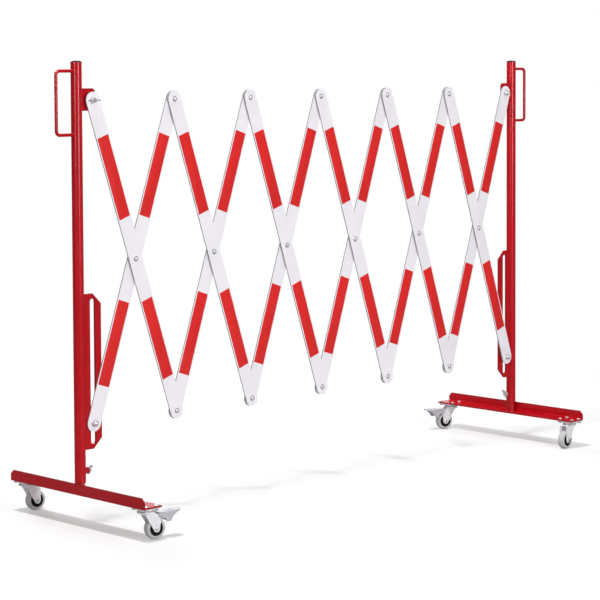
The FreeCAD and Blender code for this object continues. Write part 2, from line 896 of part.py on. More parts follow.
def make_castor(name, side, end, heading, braked):
    x, y = castor_spot(side, end)
    spot = (x, y, 0)
    make_castor_head(x, y, f"{name}_castor_head")
    keep(place(fork(braked), spot, angle=heading), f"{name}_fork")
    for piece, label in (
            (axle(), "axle"), (wheel_core(), "wheel_core"), (tyre(), "tyre")):
        place_on_axle(piece, spot, heading)
        keep(piece, f"{name}_{label}")
    if braked:
        keep(place(pedal(), spot, angle=heading), f"{name}_brake_pedal")


def make_castor_head(x, y, label):
    """Plate with the fixed race pressed from it, and the kingpin riveted under the fork."""
    top = foot_under
    plate_low = top - size["plate_sheet"]
    half_wide = size["bolts_wide"] / 2 + size["plate_rim_wide"]
    half_long = size["bolts_long"] / 2 + size["plate_rim_long"]
    plate = box((x - half_wide, y - half_long, plate_low), (x + half_wide, y + half_long, top))
    pin, pin_head = size["kingpin_dia"] / 2, size["kingpin_head"] / 2
    head_top = crown_low - size["race_gap"]
    head_low = head_top - size["kingpin_rise"]
    race = place(turned([
        (0, head_low),
        (pin_head, head_low),
        (pin_head, head_top),
        (pin, head_top),
        (pin, cup_low),
        (cup_radius - size["cup_taper"], cup_low),
        (cup_radius, plate_low - size["cup_rise"] / 2),
        (cup_radius, plate_low),
        (0, plate_low),
    ]), (x, y, 0))
    bore = size["fix_dia"] + size["hole_fit"] * 2
    holes = [cylinder((hole_x, hole_y, plate_low), bore, size["plate_sheet"])
             for hole_x, hole_y in bolt_square(x, y)]
    keep(cut(fuse(plate, race), *holes), label)


def fork(braked):
    """Pressed fork: two cheeks under a crown, with the lower race on top. It trails along its own +X."""
    trail, lug = size["trail"], size["lug_radius"]
    nose = race_radius - size["fork_sheet"]
    heel = trail + lug
    shoulder = crown_top - size["skirt"]
    if braked:
        horn_tip = pedal_web - size["horn_gap"]
        horn_low = pedal_z - size["pedal_ear"]
        back_edge = [
            (heel, axle_height + lug / 2),
            (pedal_x, horn_low),
            (horn_tip, horn_low),
            (horn_tip, pedal_z + size["horn_rise"]),
            (trail, shoulder),
            (nose, crown_top),
        ]
    else:
        back_edge = [(heel, shoulder), (heel - lug / 2, crown_top)]

    def draw(sketch):
        outline(sketch, [
            (-nose, crown_top),
            (-nose, crown_low),
            (-size["fork_neck"], shoulder),
            (trail - lug * 0.8, axle_height - lug * 0.6, lug),
            (trail, axle_height - lug, lug),
            (heel, axle_height),
            *back_edge,
        ])

    cheeks = pad(draw, "XZ_Plane", fork_outer * 2, both_ways=True)
    room = box((-(heel * 2), -fork_inner, 0), (heel * 3, fork_inner, crown_low))
    race = cylinder((0, 0, crown_low), race_radius * 2, race_top - crown_low)
    shell = fuse(cut(cheeks, room), race)
    axle_hole = cylinder((trail, fork_outer * 2, axle_height), size["axle_dia"] + size["hole_fit"],
                         fork_outer * 4, "front")
    king_hole = cylinder((0, 0, crown_low), size["kingpin_dia"] + size["hole_fit"] * 2,
                         race_top - crown_low)
    tools = [axle_hole, king_hole]
    if braked:
        tools.append(cylinder((pedal_x, fork_outer * 2, pedal_z),
                              size["pedal_pin_dia"] + size["axle_fit"] * 2, fork_outer * 4, "front"))
    return cut(shell, *tools)


def axle():
    """Round bolt across the fork with a domed head at each end, drawn along its own Z."""
    pin, head = size["axle_dia"] / 2, size["axle_head_dia"] / 2
    brim = size["axle_head_rise"] / 3
    end = fork_outer + size["axle_head_rise"]
    crown = dome_radius(size["axle_head_dia"], size["axle_head_rise"] - brim)
    return turned([
        (0, -end, crown),
        (head, -fork_outer - brim),
        (head, -fork_outer),
        (pin, -fork_outer),
        (pin, fork_outer),
        (head, fork_outer),
        (head, fork_outer + brim, crown),
        (0, end),
    ])


def wheel_core():
    """Moulded wheel centre: hub, web and rim, with a running bore for the axle."""
    bore = size["axle_dia"] / 2 + size["axle_fit"]
    hub, lip = size["hub_dia"] / 2, rim - size["fork_sheet"]
    web_half, rim_half = size["web_width"] / 2, size["tyre_width"] / 2
    return turned([
        (bore, -hub_half),
        (hub, -hub_half),
        (hub, -web_half),
        (lip, -web_half),
        (lip, -rim_half),
        (rim, -rim_half),
        (rim, rim_half),
        (lip, rim_half),
        (lip, web_half),
        (hub, web_half),
        (hub, hub_half),
        (bore, hub_half),
    ])


def tyre():
    half, turn = size["tyre_width"] / 2, size["tyre_round"]
    return turned([
        (rim, -half),
        (tread - turn, -half, turn),
        (tread, turn - half),
        (tread, half - turn, turn),
        (tread - turn, half),
        (rim, half),
    ])


def pedal():
    """Foot pedal: tread, two cheeks outside the fork and a cross web, on its pin, with the brake shoe."""
    sheet, toe, lip = size["pedal_sheet"], size["pedal_toe"], size["pedal_lip"]
    heel, tip = pedal_x - size["pedal_heel"], pedal_x + size["pedal_tip"]
    top, ear, low = pedal_z + size["pedal_rise"], pedal_z - size["pedal_ear"], pedal_z - size["pedal_hang"]
    tip_top = top + size["lip_rise"]
    inside = fork_outer + size["pedal_gap"]
    outside = inside + sheet

    def side(sketch):
        outline(sketch, [
            (heel, pedal_z),
            (pedal_x, ear),
            (pedal_web - sheet, ear),
            (pedal_web, low),
            (pedal_web + toe, low),
            (pedal_web + toe * 1.3, ear),
            (tip - lip, pedal_z + sheet * 2),
            (tip, tip_top - sheet * 2),
            (tip, tip_top),
            (tip - lip, top),
            (heel, top),
        ])

    def plan(sketch):
        corner = size["pedal_corner"]
        outline(sketch, [
            (0, -outside), (tip - corner, -outside), (tip, corner - outside),
            (tip, outside - corner), (tip - corner, outside), (0, outside)])

    shape = common(pad(side, "XZ_Plane", outside * 2, both_ways=True), pad(plan, "XY_Plane", tip_top))
    front_room = box((0, -inside, 0), (pedal_web, inside, top - sheet))
    rear_room = box((pedal_web + sheet, -inside, 0), (tip * 2, inside, top - sheet))
    web_room = box((pedal_web, -inside, 0), (pedal_web + sheet, inside, low + sheet * 2))
    pin = cylinder((pedal_x, outside + sheet, pedal_z), size["pedal_pin_dia"], (outside + sheet) * 2, "front")
    return group([fuse(cut(shape, front_room, rear_room, web_room), pin), brake_shoe()])


def brake_shoe():
    """Block in front of the pedal's web, whose lower front edge is the nearest to the tyre."""
    reach = tread + size["shoe_gap"]
    front = pedal_web - size["shoe_depth"]
    run = front - size["trail"]
    low = axle_height + root_of(reach * reach - run * run)
    half = size["shoe_width"] / 2
    return box((front, -half, low), (pedal_web, half, low + size["shoe_thick"]))


# ---------------------------------------------------------------- build, check and write

def check():
    """Stop if any object of the document failed, or any sub-part has no valid shape."""
    for thing in doc.Objects:
        if {"Invalid", "Error"} & set(thing.State):
            raise SystemExit(f"{thing.Name} ({thing.Label}) failed: {thing.State}")
    for node in nodes:
        if node.Shape.isNull() or not node.Shape.isValid() or not node.Shape.Solids:
            raise SystemExit(f"{node.Label} has no valid solid")


def write():
    os.makedirs("parts", exist_ok=True)
    for node in nodes:
        node.Shape.exportStep(f"parts/{node.Label}.step")


for post_side, post_name in ((LEFT, "left"), (RIGHT, "right")):
    make_post(post_side, post_name)
    make_foot(post_side, post_name)
    make_castor_bolts(post_side, post_name)
make_bars()
make_pivots()
make_top_ties()
for castor_name, castor in CASTORS.items():
    make_castor(castor_name, *castor)
doc.recompute()
check()
write()
print(len(nodes), "nodes written")
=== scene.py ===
import json
import math

import bmesh
import bpy
from mathutils import Matrix, Vector, noise

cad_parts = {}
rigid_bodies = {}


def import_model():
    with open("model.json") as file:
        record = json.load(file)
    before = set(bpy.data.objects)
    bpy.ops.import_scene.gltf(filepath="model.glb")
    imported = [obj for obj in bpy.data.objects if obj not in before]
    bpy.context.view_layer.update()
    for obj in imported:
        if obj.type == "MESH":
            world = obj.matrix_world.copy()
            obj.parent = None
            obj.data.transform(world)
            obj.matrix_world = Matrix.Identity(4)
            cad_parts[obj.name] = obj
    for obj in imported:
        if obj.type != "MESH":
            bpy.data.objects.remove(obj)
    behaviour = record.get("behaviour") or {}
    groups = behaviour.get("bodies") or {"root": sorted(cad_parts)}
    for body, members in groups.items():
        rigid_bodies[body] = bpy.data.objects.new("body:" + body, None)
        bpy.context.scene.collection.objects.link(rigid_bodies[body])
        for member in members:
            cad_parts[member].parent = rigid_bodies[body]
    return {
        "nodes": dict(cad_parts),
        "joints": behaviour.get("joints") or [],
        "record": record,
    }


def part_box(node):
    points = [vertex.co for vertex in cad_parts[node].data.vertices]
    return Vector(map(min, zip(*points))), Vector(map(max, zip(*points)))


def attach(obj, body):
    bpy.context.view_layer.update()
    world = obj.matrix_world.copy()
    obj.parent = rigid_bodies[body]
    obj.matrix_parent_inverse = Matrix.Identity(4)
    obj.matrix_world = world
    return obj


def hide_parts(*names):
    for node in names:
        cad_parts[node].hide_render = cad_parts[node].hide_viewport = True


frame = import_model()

# The looks of a mobile expanding barrier: materials for its CAD nodes, and the tape, weld beads, moulded tyres
# and small castor parts that its solids leave out. Lengths are in metres where nothing else is said.

NODES = frame["nodes"]
JOINTS = {joint["name"]: joint for joint in frame["joints"]}
BODY_OF = {node: body for body, nodes in frame["record"]["behaviour"]["bodies"].items() for node in nodes}
BARS = 6                            # bars in the front layer of the lattice, and as many in the back layer
SIDES = {"left": -1, "right": 1}    # the two posts, and which way along X is outwards there
CASTORS = ("front_left", "back_left", "front_right", "back_right")
BRAKED = ("front_left", "back_right")
UP = Vector((0, 0, 1))
MM = 0.001


def clear_defaults():
    """Removes whatever the new Blender file came with, so that the bounds are the object's own."""
    for o in list(bpy.data.objects):
        if o.type != "EMPTY" and o.name not in NODES:
            bpy.data.objects.remove(o)


clear_defaults()
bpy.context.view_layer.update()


# ---------------------------------------------------------------- shader nodes

EDGE_TURN = (0.985, 0.87)   # cosine between the flat and the rounded normal, beside an edge and right on it


def colour(red, green, blue):
    """An sRGB colour, each channel 0 to 255, as the linear colour that a shader takes."""
    def linear(v):
        v /= 255
        return v / 12.92 if v <= 0.04045 else ((v + 0.055) / 1.055) ** 2.4
    return (linear(red), linear(green), linear(blue), 1)


def add(tree, kind, settings=None, inputs=None):
    """Adds a shader node. An input that is given a socket is linked to it, any other is set."""
    made = tree.nodes.new("ShaderNode" + kind)
    for key, value in (settings or {}).items():
        setattr(made, key, value)
    for key, value in (inputs or {}).items():
        if isinstance(value, bpy.types.NodeSocket):
            tree.links.new(value, made.inputs[key])
        else:
            made.inputs[key].default_value = value
    return made


def fresh_material(name):
    mat = bpy.data.materials.new(name)
    mat.use_nodes = True
    mat.node_tree.nodes.clear()
    return mat, mat.node_tree


def object_coords(tree):
    return add(tree, "TexCoord").outputs["Object"]


def noise_at(tree, coords, scale, detail=3.0, rough=0.5):
    return add(tree, "TexNoise", inputs={"Vector": coords, "Scale": scale, "Detail": detail,
                                         "Roughness": rough}).outputs["Fac"]


def between(tree, value, span, result):
    """The value mapped in a straight line from the span to the result, and held at its ends."""
    return add(tree, "MapRange", inputs={"Value": value, "From Min": span[0], "From Max": span[1],
                                         "To Min": result[0], "To Max": result[1]}).outputs["Result"]


def maths(tree, operation, first, second=0.0):
    return add(tree, "Math", {"operation": operation}, {0: first, 1: second}).outputs[0]


def dot(tree, first, second):
    return add(tree, "VectorMath", {"operation": "DOT_PRODUCT"}, {0: first, 1: second}).outputs["Value"]


def blended(tree, factor, first, second):
    """A colour that goes from the first to the second as the factor goes from 0 to 1."""
    mixer = add(tree, "Mix", {"data_type": "RGBA"}, {"Factor": factor, 6: first, 7: second})
    return mixer.outputs[2]


def bumped(tree, height, strength, distance, under=None):
    inputs = {"Height": height, "Strength": strength, "Distance": distance}
    if under is not None:
        inputs["Normal"] = under
    return add(tree, "Bump", inputs=inputs).outputs["Normal"]


def rounded(tree, radius):
    """The surface normal with its edges rounded off by this radius."""
    return add(tree, "Bevel", {"samples": 4}, {"Radius": radius}).outputs["Normal"]


def near_edges(tree, radius, strength):
    """From 0 on open faces up to the strength at sharp edges, within about this radius of them."""
    flat = add(tree, "NewGeometry").outputs["Normal"]
    return between(tree, dot(tree, flat, rounded(tree, radius)), EDGE_TURN, (0.0, strength))


def surface(tree, **inputs):
    """The Principled shader and the output it feeds. Constants stay on its own sockets."""
    named = {key.replace("_", " "): value for key, value in inputs.items()}
    shader = add(tree, "BsdfPrincipled", inputs=named)
    add(tree, "OutputMaterial", inputs={"Surface": shader.outputs["BSDF"]})


# ---------------------------------------------------------------- materials of the object

SCUFF_HEIGHT = 0.35         # up to here, kicks and dirt scuff the paint a little more
EDGE_SHADE_REACH = 3 * MM         # how far in from an edge the enamel's thinner paint and painted shade reach
ZINC_EDGE_SHADE_REACH = 1.2 * MM         # the same for zinc: its darker cut edges, and painted shade along its sharp edges
BRUSHED = (60, 60, 900)     # noise scale along X, Y and Z, which draws the noise out into level lines


def enamel(name, main, deep, worn, edge_shade, edge_shade_share, rough, peel):
    """Stoved enamel: orange-peel skin, uneven tone, thinner paint and painted shade darkening the sharp edges,
    dull scuffs near the floor.
    """
    mat, tree = fresh_material(name)
    coords = object_coords(tree)
    tone = between(tree, noise_at(tree, coords, 5.0, detail=4.0), (0.35, 0.65), (0.0, 1.0))
    # Sharp edges go towards edge_shade: thinner paint there, and painted shade for the dark rim that light
    # leaves along them.
    base = blended(tree, near_edges(tree, EDGE_SHADE_REACH, edge_shade_share), blended(tree, tone, main, deep), edge_shade)
    height = add(tree, "SeparateXYZ", inputs={"Vector": coords}).outputs["Z"]
    low_down = between(tree, height, (0.0, SCUFF_HEIGHT), (0.05, 0.0))
    patches = noise_at(tree, coords, 60.0, detail=6.0, rough=0.72)
    scuffs = between(tree, maths(tree, "ADD", patches, low_down), (0.74, 0.82), (0.0, 0.35))
    dull = between(tree, noise_at(tree, coords, 14.0, detail=5.0), (0.3, 0.7), (rough - 0.03, rough + 0.05))
    dull = maths(tree, "ADD", dull, maths(tree, "MULTIPLY", scuffs, 0.35))
    relief = bumped(tree, noise_at(tree, coords, 850.0, detail=2.0), peel, 0.3 * MM, rounded(tree, 0.6 * MM))
    surface(tree, Base_Color=blended(tree, scuffs, base, worn), Roughness=dull, Normal=relief,
            Specular_IOR_Level=0.4)
    return mat


def bar_enamel(name, main, deep, worn, side_shade):
    """White enamel of the flat bars: satin faces with rubbed spots, and painted shade that makes their narrow
    side faces grey.
    """
    mat, tree = fresh_material(name)
    coords = object_coords(tree)
    facing = add(tree, "SeparateXYZ", inputs={"Vector": add(tree, "TexCoord").outputs["Normal"]}).outputs["Y"]
    # Painted shade: faces that turn away from front and back, the bar's narrow sides, go grey towards
    # side_shade.
    edge_shade = between(tree, maths(tree, "ABSOLUTE", facing), (0.35, 0.75), (0.85, 0.0))
    tone = between(tree, noise_at(tree, coords, 6.0, detail=4.0), (0.35, 0.65), (0.0, 1.0))
    rubbed = between(tree, noise_at(tree, coords, 55.0, detail=6.0, rough=0.72), (0.70, 0.80), (0.0, 0.5))
    base = blended(tree, rubbed, blended(tree, tone, main, deep), worn)
    dull = between(tree, noise_at(tree, coords, 18.0, detail=5.0), (0.3, 0.7), (0.34, 0.44))
    relief = bumped(tree, noise_at(tree, coords, 700.0, detail=2.0), 0.10, 0.3 * MM)
    surface(tree, Base_Color=blended(tree, edge_shade, base, side_shade), Roughness=dull, Normal=relief)
    return mat


def tape_vinyl(name, main, deep, worn):
    """Glossy vinyl tape: fine grain, faint trapped-air blisters and rubbed spots."""
    mat, tree = fresh_material(name)
    coords = object_coords(tree)
    tone = between(tree, noise_at(tree, coords, 9.0, detail=4.0), (0.3, 0.7), (0.0, 1.0))
    blisters = between(tree, noise_at(tree, coords, 160.0), (0.62, 0.72), (0.0, 1.0))
    rubbed = between(tree, noise_at(tree, coords, 45.0, detail=6.0, rough=0.7), (0.64, 0.74), (0.0, 0.35))
    dull = between(tree, noise_at(tree, coords, 22.0), (0.3, 0.7), (0.34, 0.44))
    grain = bumped(tree, noise_at(tree, coords, 1600.0, detail=2.0), 0.08, 0.2 * MM)
    base = blended(tree, rubbed, blended(tree, tone, main, deep), worn)
    surface(tree, Base_Color=base, Roughness=dull, Normal=bumped(tree, blisters, 0.10, 0.3 * MM, grain),
            Specular_IOR_Level=0.35)
    return mat


def zinc(name, bright, dark, rough, metal):
    """Zinc plate: metal with soft cloudy spangle, fine drawing lines, duller spots, and darker cut edges
    deepened by painted shade.
    """
    mat, tree = fresh_material(name)
    coords = object_coords(tree)
    clouds = between(tree, noise_at(tree, coords, 90.0, detail=4.0), (0.35, 0.65), (0.0, 1.0))
    spots = between(tree, noise_at(tree, coords, 260.0, detail=5.0, rough=0.7), (0.62, 0.72), (0.0, 0.6))
    plate = blended(tree, spots, blended(tree, clouds, bright, dark), colour(150, 150, 154))
    # Sharp edges go dark grey: darker cut edges, and painted shade for the dark outline along them.
    base = blended(tree, near_edges(tree, ZINC_EDGE_SHADE_REACH, 0.6), plate, colour(96, 96, 100))
    dull = between(tree, clouds, (0.0, 1.0), (rough - 0.06, rough + 0.06))
    dull = maths(tree, "ADD", dull, maths(tree, "MULTIPLY", spots, 0.25))
    drawn = add(tree, "Mapping", inputs={"Vector": coords, "Scale": BRUSHED}).outputs["Vector"]
    relief = bumped(tree, noise_at(tree, drawn, 1.0), 0.10, 0.2 * MM, rounded(tree, 0.4 * MM))
    surface(tree, Base_Color=base, Metallic=metal, Roughness=dull, Normal=relief)
    return mat


def moulded(name, main, pale, rough, grain_scale, grain_strength):
    """Moulded plastic or rubber: a grained skin with paler rubbed spots."""
    mat, tree = fresh_material(name)
    coords = object_coords(tree)
    rubbed = between(tree, noise_at(tree, coords, 120.0, detail=5.0, rough=0.65), (0.5, 0.75), (0.0, 0.6))
    dull = between(tree, noise_at(tree, coords, 60.0), (0.3, 0.7), (rough - 0.06, rough + 0.08))
    relief = bumped(tree, noise_at(tree, coords, grain_scale), grain_strength, 0.3 * MM)
    surface(tree, Base_Color=blended(tree, rubbed, main, pale), Roughness=dull, Normal=relief,
            Specular_IOR_Level=0.3)
    return mat


RED = {"main": colour(188, 10, 24), "deep": colour(176, 7, 20), "worn": colour(188, 44, 50)}
MATERIALS = {
    # edge_shade is the dark red painted along sharp edges as shade, on top of their thinner paint.
    "red_paint": enamel("red_enamel", **RED, edge_shade=colour(70, 4, 10), edge_shade_share=0.9, rough=0.21, peel=0.010),
    "red_on_welds": enamel("weld_enamel", **RED, edge_shade=colour(150, 6, 16), edge_shade_share=0.3, rough=0.2, peel=0.05),
    # side_shade is grey painted on the bars' narrow sides as shade.
    "white_paint": bar_enamel("white_enamel", main=colour(241, 237, 243), deep=colour(236, 232, 239),
                              worn=colour(214, 210, 214), side_shade=colour(130, 128, 132)),
    "red_tape": tape_vinyl("red_tape", main=colour(220, 34, 32), deep=colour(212, 30, 30),
                           worn=colour(224, 92, 88)),
    "zinc_steel": zinc("bolt_zinc", colour(250, 250, 254), colour(228, 228, 234), rough=0.24, metal=0.68),
    "zinc_sheet": zinc("sheet_zinc", colour(254, 253, 255), colour(243, 242, 248), rough=0.36, metal=0.25),
    "zinc_pedal": zinc("pedal_zinc", colour(220, 219, 227), colour(200, 199, 207), rough=0.34, metal=0.40),
    "black_plastic": moulded("black_plastic", colour(20, 20, 23), colour(36, 36, 39), rough=0.5,
                             grain_scale=900, grain_strength=0.12),
    "grey_rubber": moulded("grey_rubber", colour(192, 190, 192), colour(208, 207, 209), rough=0.62,
                           grain_scale=700, grain_strength=0.16),
}
# parts pressed from sheet, whose zinc differs from that of the bolts
PRESSED = {"fork": "zinc_sheet", "castor_head": "zinc_sheet", "brake_pedal": "zinc_pedal"}


def dress_cad():
    """Gives every CAD node the material of the slot that its record names, or that of its pressed sheet."""
    for name, node in NODES.items():
        pressed = [material for ending, material in PRESSED.items() if name.endswith(ending)]
        for slot in node.material_slots:
            slot.material = MATERIALS[pressed[0] if pressed else slot.material.name.split(".")[0]]


# ---------------------------------------------------------------- mesh helpers

SHARP = math.radians(38)    # creases stay sharp from this angle on


def placed(name, data):
    """A new object that holds this data, in the scene."""
    made = bpy.data.objects.new(name, data)
    bpy.context.scene.collection.objects.link(made)
    return made


def piece(name, bm, material, body):
    """Turns a bmesh in the row frame into an object that rides on a body."""
    mesh = bpy.data.meshes.new(name)
    bmesh.ops.recalc_face_normals(bm, faces=bm.faces)
    bm.to_mesh(mesh)
    bm.free()
    for face in mesh.polygons:
        face.use_smooth = True
    mesh.set_sharp_from_angle(angle=SHARP)
    mesh.materials.append(MATERIALS[material])
    made = placed(name, mesh)
    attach(made, body)
    return made


def bridge(bm, first, second):
    """Faces between two closed loops of as many vertices."""
    for i in range(len(first)):
        j = (i + 1) % len(first)
        bm.faces.new((first[i], first[j], second[j], second[i]))


def bridge_all(bm, loops, closed=False):
    """Faces between each loop and the next, and if closed between the last and the first."""
    for first, second in zip(loops, loops[1:] + loops[:1] if closed else loops[1:]):
        bridge(bm, first, second)


# ---------------------------------------------------------------- tape on the bars

BAR_END = 20 * MM           # end radius of a bar, so its end holes lie this far inside its box
TAPE_WIDTH = 34.5 * MM
TAPE_LENGTH = 208 * MM
TAPE_FROM_HOLE = 91 * MM    # from an end hole to the near end of its tape
TAPE_CORNER = 1.2 * MM
TAPE_THICK = 0.2 * MM
TAPE_EDGE = ((0, 0), (0, 0.6 * TAPE_THICK), (0.25 * MM, TAPE_THICK))    # (inset, height) across its worn edge


def bar_holes(node, layer):
    """The top and bottom end holes of a bar, as (x, z)."""
    low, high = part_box(node)
    left, right = low.x + BAR_END, high.x - BAR_END
    top, bottom = high.z - BAR_END, low.z + BAR_END
    return ((left, top), (right, bottom)) if layer == "front" else ((right, top), (left, bottom))


def tape_outline(length, width, corner, steps=4):
    """A rectangle with rounded corners about the origin, along its own length."""
    points = []
    for turn, (sx, sy) in enumerate(((1, 1), (-1, 1), (-1, -1), (1, -1))):
        cx, cy = sx * (length / 2 - corner), sy * (width / 2 - corner)
        for step in range(steps + 1):
            angle = math.pi / 2 * (turn + step / steps)
            points.append((cx + corner * math.cos(angle), cy + corner * math.sin(angle)))
    return points


def add_tape(bm, centre, along, face_y, outward):
    """One band of tape on a bar's face: a thin sheet whose edge thins towards the paint."""
    across = Vector((-along.z, 0, along.x))
    rings = []
    for inset, height in TAPE_EDGE:
        ring = []
        for a, b in tape_outline(TAPE_LENGTH - 2 * inset, TAPE_WIDTH - 2 * inset, TAPE_CORNER):
            spot = centre + along * a + across * b
            ring.append(bm.verts.new((spot.x, face_y + outward * height, spot.z)))
        rings.append(ring)
    bridge_all(bm, rings)
    bm.faces.new(rings[-1])
    bm.faces.new(list(reversed(rings[0])))


def make_tapes():
    """Two bands of tape on both faces of every bar, as far in from its top hole as from its bottom one."""
    middle = TAPE_FROM_HOLE + TAPE_LENGTH / 2
    for layer in ("front", "back"):
        for number in range(1, BARS + 1):
            node = f"{layer}_bar_{number}"
            low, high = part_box(node)
            top, bottom = (Vector((x, 0, z)) for x, z in bar_holes(node, layer))
            along = (bottom - top).normalized()
            bm = bmesh.new()
            for centre in (top + along * middle, bottom - along * middle):
                add_tape(bm, centre, along, low.y, -1)
                add_tape(bm, centre, along, high.y, 1)
            piece(f"tape_{node}", bm, "red_tape", BODY_OF[node])


# ---------------------------------------------------------------- weld beads

POST_RADIUS = 13.45 * MM
ROD_RADIUS = 4 * MM
BOSS_RADIUS = 7.5 * MM
BEAD = 1.7 * MM             # half thickness of a weld bead
BEAD_SIDES = 8
STEP = 0.4 * MM             # between the rings of vertices along a bead
RIPPLE = 1.6 * MM           # from one ripple of the bead to the next
RIPPLE_SWELL = 0.14         # share of its thickness that a bead gains at a ripple
WANDER = 0.3                # share of its thickness that it gains or loses at random
WANDER_SCALE = 400          # how fast that changes, per metre
TAPER = (0.35, 0.25)        # share of its thickness at an open end, and what each ring inwards adds
STITCH = 24 * MM            # length of a short run of weld
# where the runs lie on a plate, from 0 at its bottom to 1 at its top
BRACKET_RUNS = (0.06, 0.94)
SLOT_PLATE_RUNS = (0.02, 0.5, 0.98)


def bead_radius(path, i, closed):
    """Half the thickness at a point of the path: rippled, wandering a little and tapered at open ends."""
    swell = 1 + RIPPLE_SWELL * math.cos(2 * math.pi * i * STEP / RIPPLE)
    swell += WANDER * noise.noise(path[i] * WANDER_SCALE)
    taper = 1 if closed else min(1, TAPER[0] + TAPER[1] * min(i, len(path) - 1 - i))
    return BEAD * swell * taper


def bead_ring(bm, path, i, closed):
    """A ring of vertices round a point of the path, square to its direction there."""
    spot = path[i]
    ahead = path[(i + 1) % len(path)] if closed or i + 1 < len(path) else spot
    behind = path[i - 1] if closed or i else spot
    along = (ahead - behind).normalized()
    across = along.orthogonal().normalized()
    other = along.cross(across)
    radius = bead_radius(path, i, closed)
    angles = (2 * math.pi * side / BEAD_SIDES for side in range(BEAD_SIDES))
    return [bm.verts.new(spot + (across * math.cos(a) + other * math.sin(a)) * radius) for a in angles]


def add_bead(bm, path, closed=False):
    """A weld bead along a path. Each ring is joined to the next from its nearest vertex on, without a twist."""
    rings = [bead_ring(bm, path, i, closed) for i in range(len(path))]
    for first, second in zip(rings, rings[1:] + rings[:1] if closed else rings[1:]):
        start = min(range(BEAD_SIDES), key=lambda k: (second[k].co - first[0].co).length)
        bridge(bm, first, second[start:] + second[:start])
    if not closed:
        bm.faces.new(rings[0])
        bm.faces.new(rings[-1])


def saddle(post_x, outward, height, radius):
    """The closed line on the post where a round rod of this radius, along X, meets it."""
    steps = int(2 * math.pi * radius / STEP)
    line = []
    for step in range(steps):
        angle = 2 * math.pi * step / steps
        y = radius * math.cos(angle)
        reach = math.sqrt(POST_RADIUS ** 2 - y ** 2)
        line.append(Vector((post_x + outward * reach, y, height + radius * math.sin(angle))))
    return line


def upright(x, y, low, high):
    """Points up a line, one step apart."""
    steps = int((high - low) / STEP)
    return [Vector((x, y, low + (high - low) * step / steps)) for step in range(steps + 1)]


def plate_stitches(node, post_x, inward, runs):
    """Upright runs of weld where both faces of a plate meet the post."""
    low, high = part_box(node)
    lines = []
    for y in (low.y, high.y):
        x = post_x + inward * math.sqrt(POST_RADIUS ** 2 - y ** 2)
        for share in runs:
            start = low.z + (high.z - low.z - STITCH) * share
            lines.append(upright(x, y, start, start + STITCH))
    return lines


def make_welds():
    """The beads that hold handle, boss, bracket and slotted plate on each post."""
    for name, side in SIDES.items():
        low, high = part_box(f"{name}_post_cap")
        post_x = (low.x + high.x) / 2
        bm = bmesh.new()
        low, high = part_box(f"{name}_handle")
        for height in (low.z + ROD_RADIUS, high.z - ROD_RADIUS):
            add_bead(bm, saddle(post_x, side, height, ROD_RADIUS), closed=True)
        low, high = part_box(f"{name}_clamp_screw")
        add_bead(bm, saddle(post_x, -side, (low.z + high.z) / 2, BOSS_RADIUS), closed=True)
        lines = plate_stitches(f"{name}_pivot_bracket", post_x, -side, BRACKET_RUNS)
        lines += plate_stitches(f"{name}_slot_plate", post_x, -side, SLOT_PLATE_RUNS)
        for line in lines:
            add_bead(bm, line)
        piece(f"{name}_weld_beads", bm, "red_on_welds", f"{name}_frame")


# ---------------------------------------------------------------- castors

# half of the tyre's section, as (radius, distance from the middle of the wheel) in millimetres
TYRE_HALF = (
    (25.0, 0.0), (25.0, 2.6), (24.8, 4.6), (24.2, 4.8), (24.2, 5.3), (24.7, 5.5), (24.4, 6.9),
    (23.9, 7.1), (23.9, 7.5), (24.1, 7.7), (23.4, 8.6), (22.3, 9.0), (21.9, 9.35), (20.6, 9.35),
    (20.2, 9.0), (18.6, 9.0), (18.2, 9.25), (17.5, 9.25),
)
TYRE_STEPS = 72
# section of the dust seal, as (radius, height from its middle) in millimetres
SEAL = ((15.0, -0.45), (18.3, -0.45), (18.8, 0.0), (18.3, 0.45), (15.0, 0.45))
SEAL_STEPS = 64
SEAL_HEIGHT = 67.85 * MM
RIB_COUNT = 9
RIB_REACH = (7.2 * MM, 15.8 * MM)       # from the axle, where a rib starts and ends
RIB_RISE = (5.9 * MM, 8.2 * MM)         # from the middle of the wheel, its foot and its top
RIB_WIDTH = 1.6 * MM
GRIP_REACHES = (18 * MM, 24 * MM, 30 * MM, 36 * MM)     # from the pedal's pin to each ridge of its tread
GRIP_HEIGHT = 8.4 * MM                  # of the tread above the pin
GRIP_LENGTH, GRIP_WIDTH, GRIP_RISE = 18 * MM, 2.2 * MM, 0.9 * MM
# a ridge from its foot up, as shares: height, width, and how far its ends are pulled in for its height
RIDGE_FLANK = ((0, 1.0, 0), (0.7, 0.85, 0.25), (1.0, 0.5, 0.6))


def joint_frame(name):
    """A point on a joint's axis and the axis itself, at rest."""
    joint = JOINTS[name]
    return Vector(joint["pos_m"]), Vector(joint["axis"]).normalized()


def add_spun(bm, profile, centre, axis, steps):
    """A ring: the closed profile of (radius, distance along the axis) in millimetres, turned about the axis."""
    side = axis.orthogonal().normalized()
    other = axis.cross(side)
    rings = []
    for step in range(steps):
        angle = 2 * math.pi * step / steps
        out = side * math.cos(angle) + other * math.sin(angle)
        rings.append([bm.verts.new(centre + (out * radius + axis * along) * MM) for radius, along in profile])
    bridge_all(bm, rings, closed=True)


def add_ridge(bm, start, end, up, width, height):
    """A low ridge with sloping flanks and ends, from start to end, that rises along up."""
    along = (end - start).normalized()
    across = up.cross(along).normalized()
    rows = []
    for rise, spread, pull in RIDGE_FLANK:
        corners = []
        for spot, inward in ((start, 1), (end, -1)):
            for turn in (1, -1):
                corners.append(bm.verts.new(
                    spot + along * inward * pull * height + up * rise * height
                    + across * turn * inward * spread * width / 2))
        rows.append(corners)
    bridge_all(bm, rows)
    bm.faces.new(rows[0])
    bm.faces.new(rows[-1])


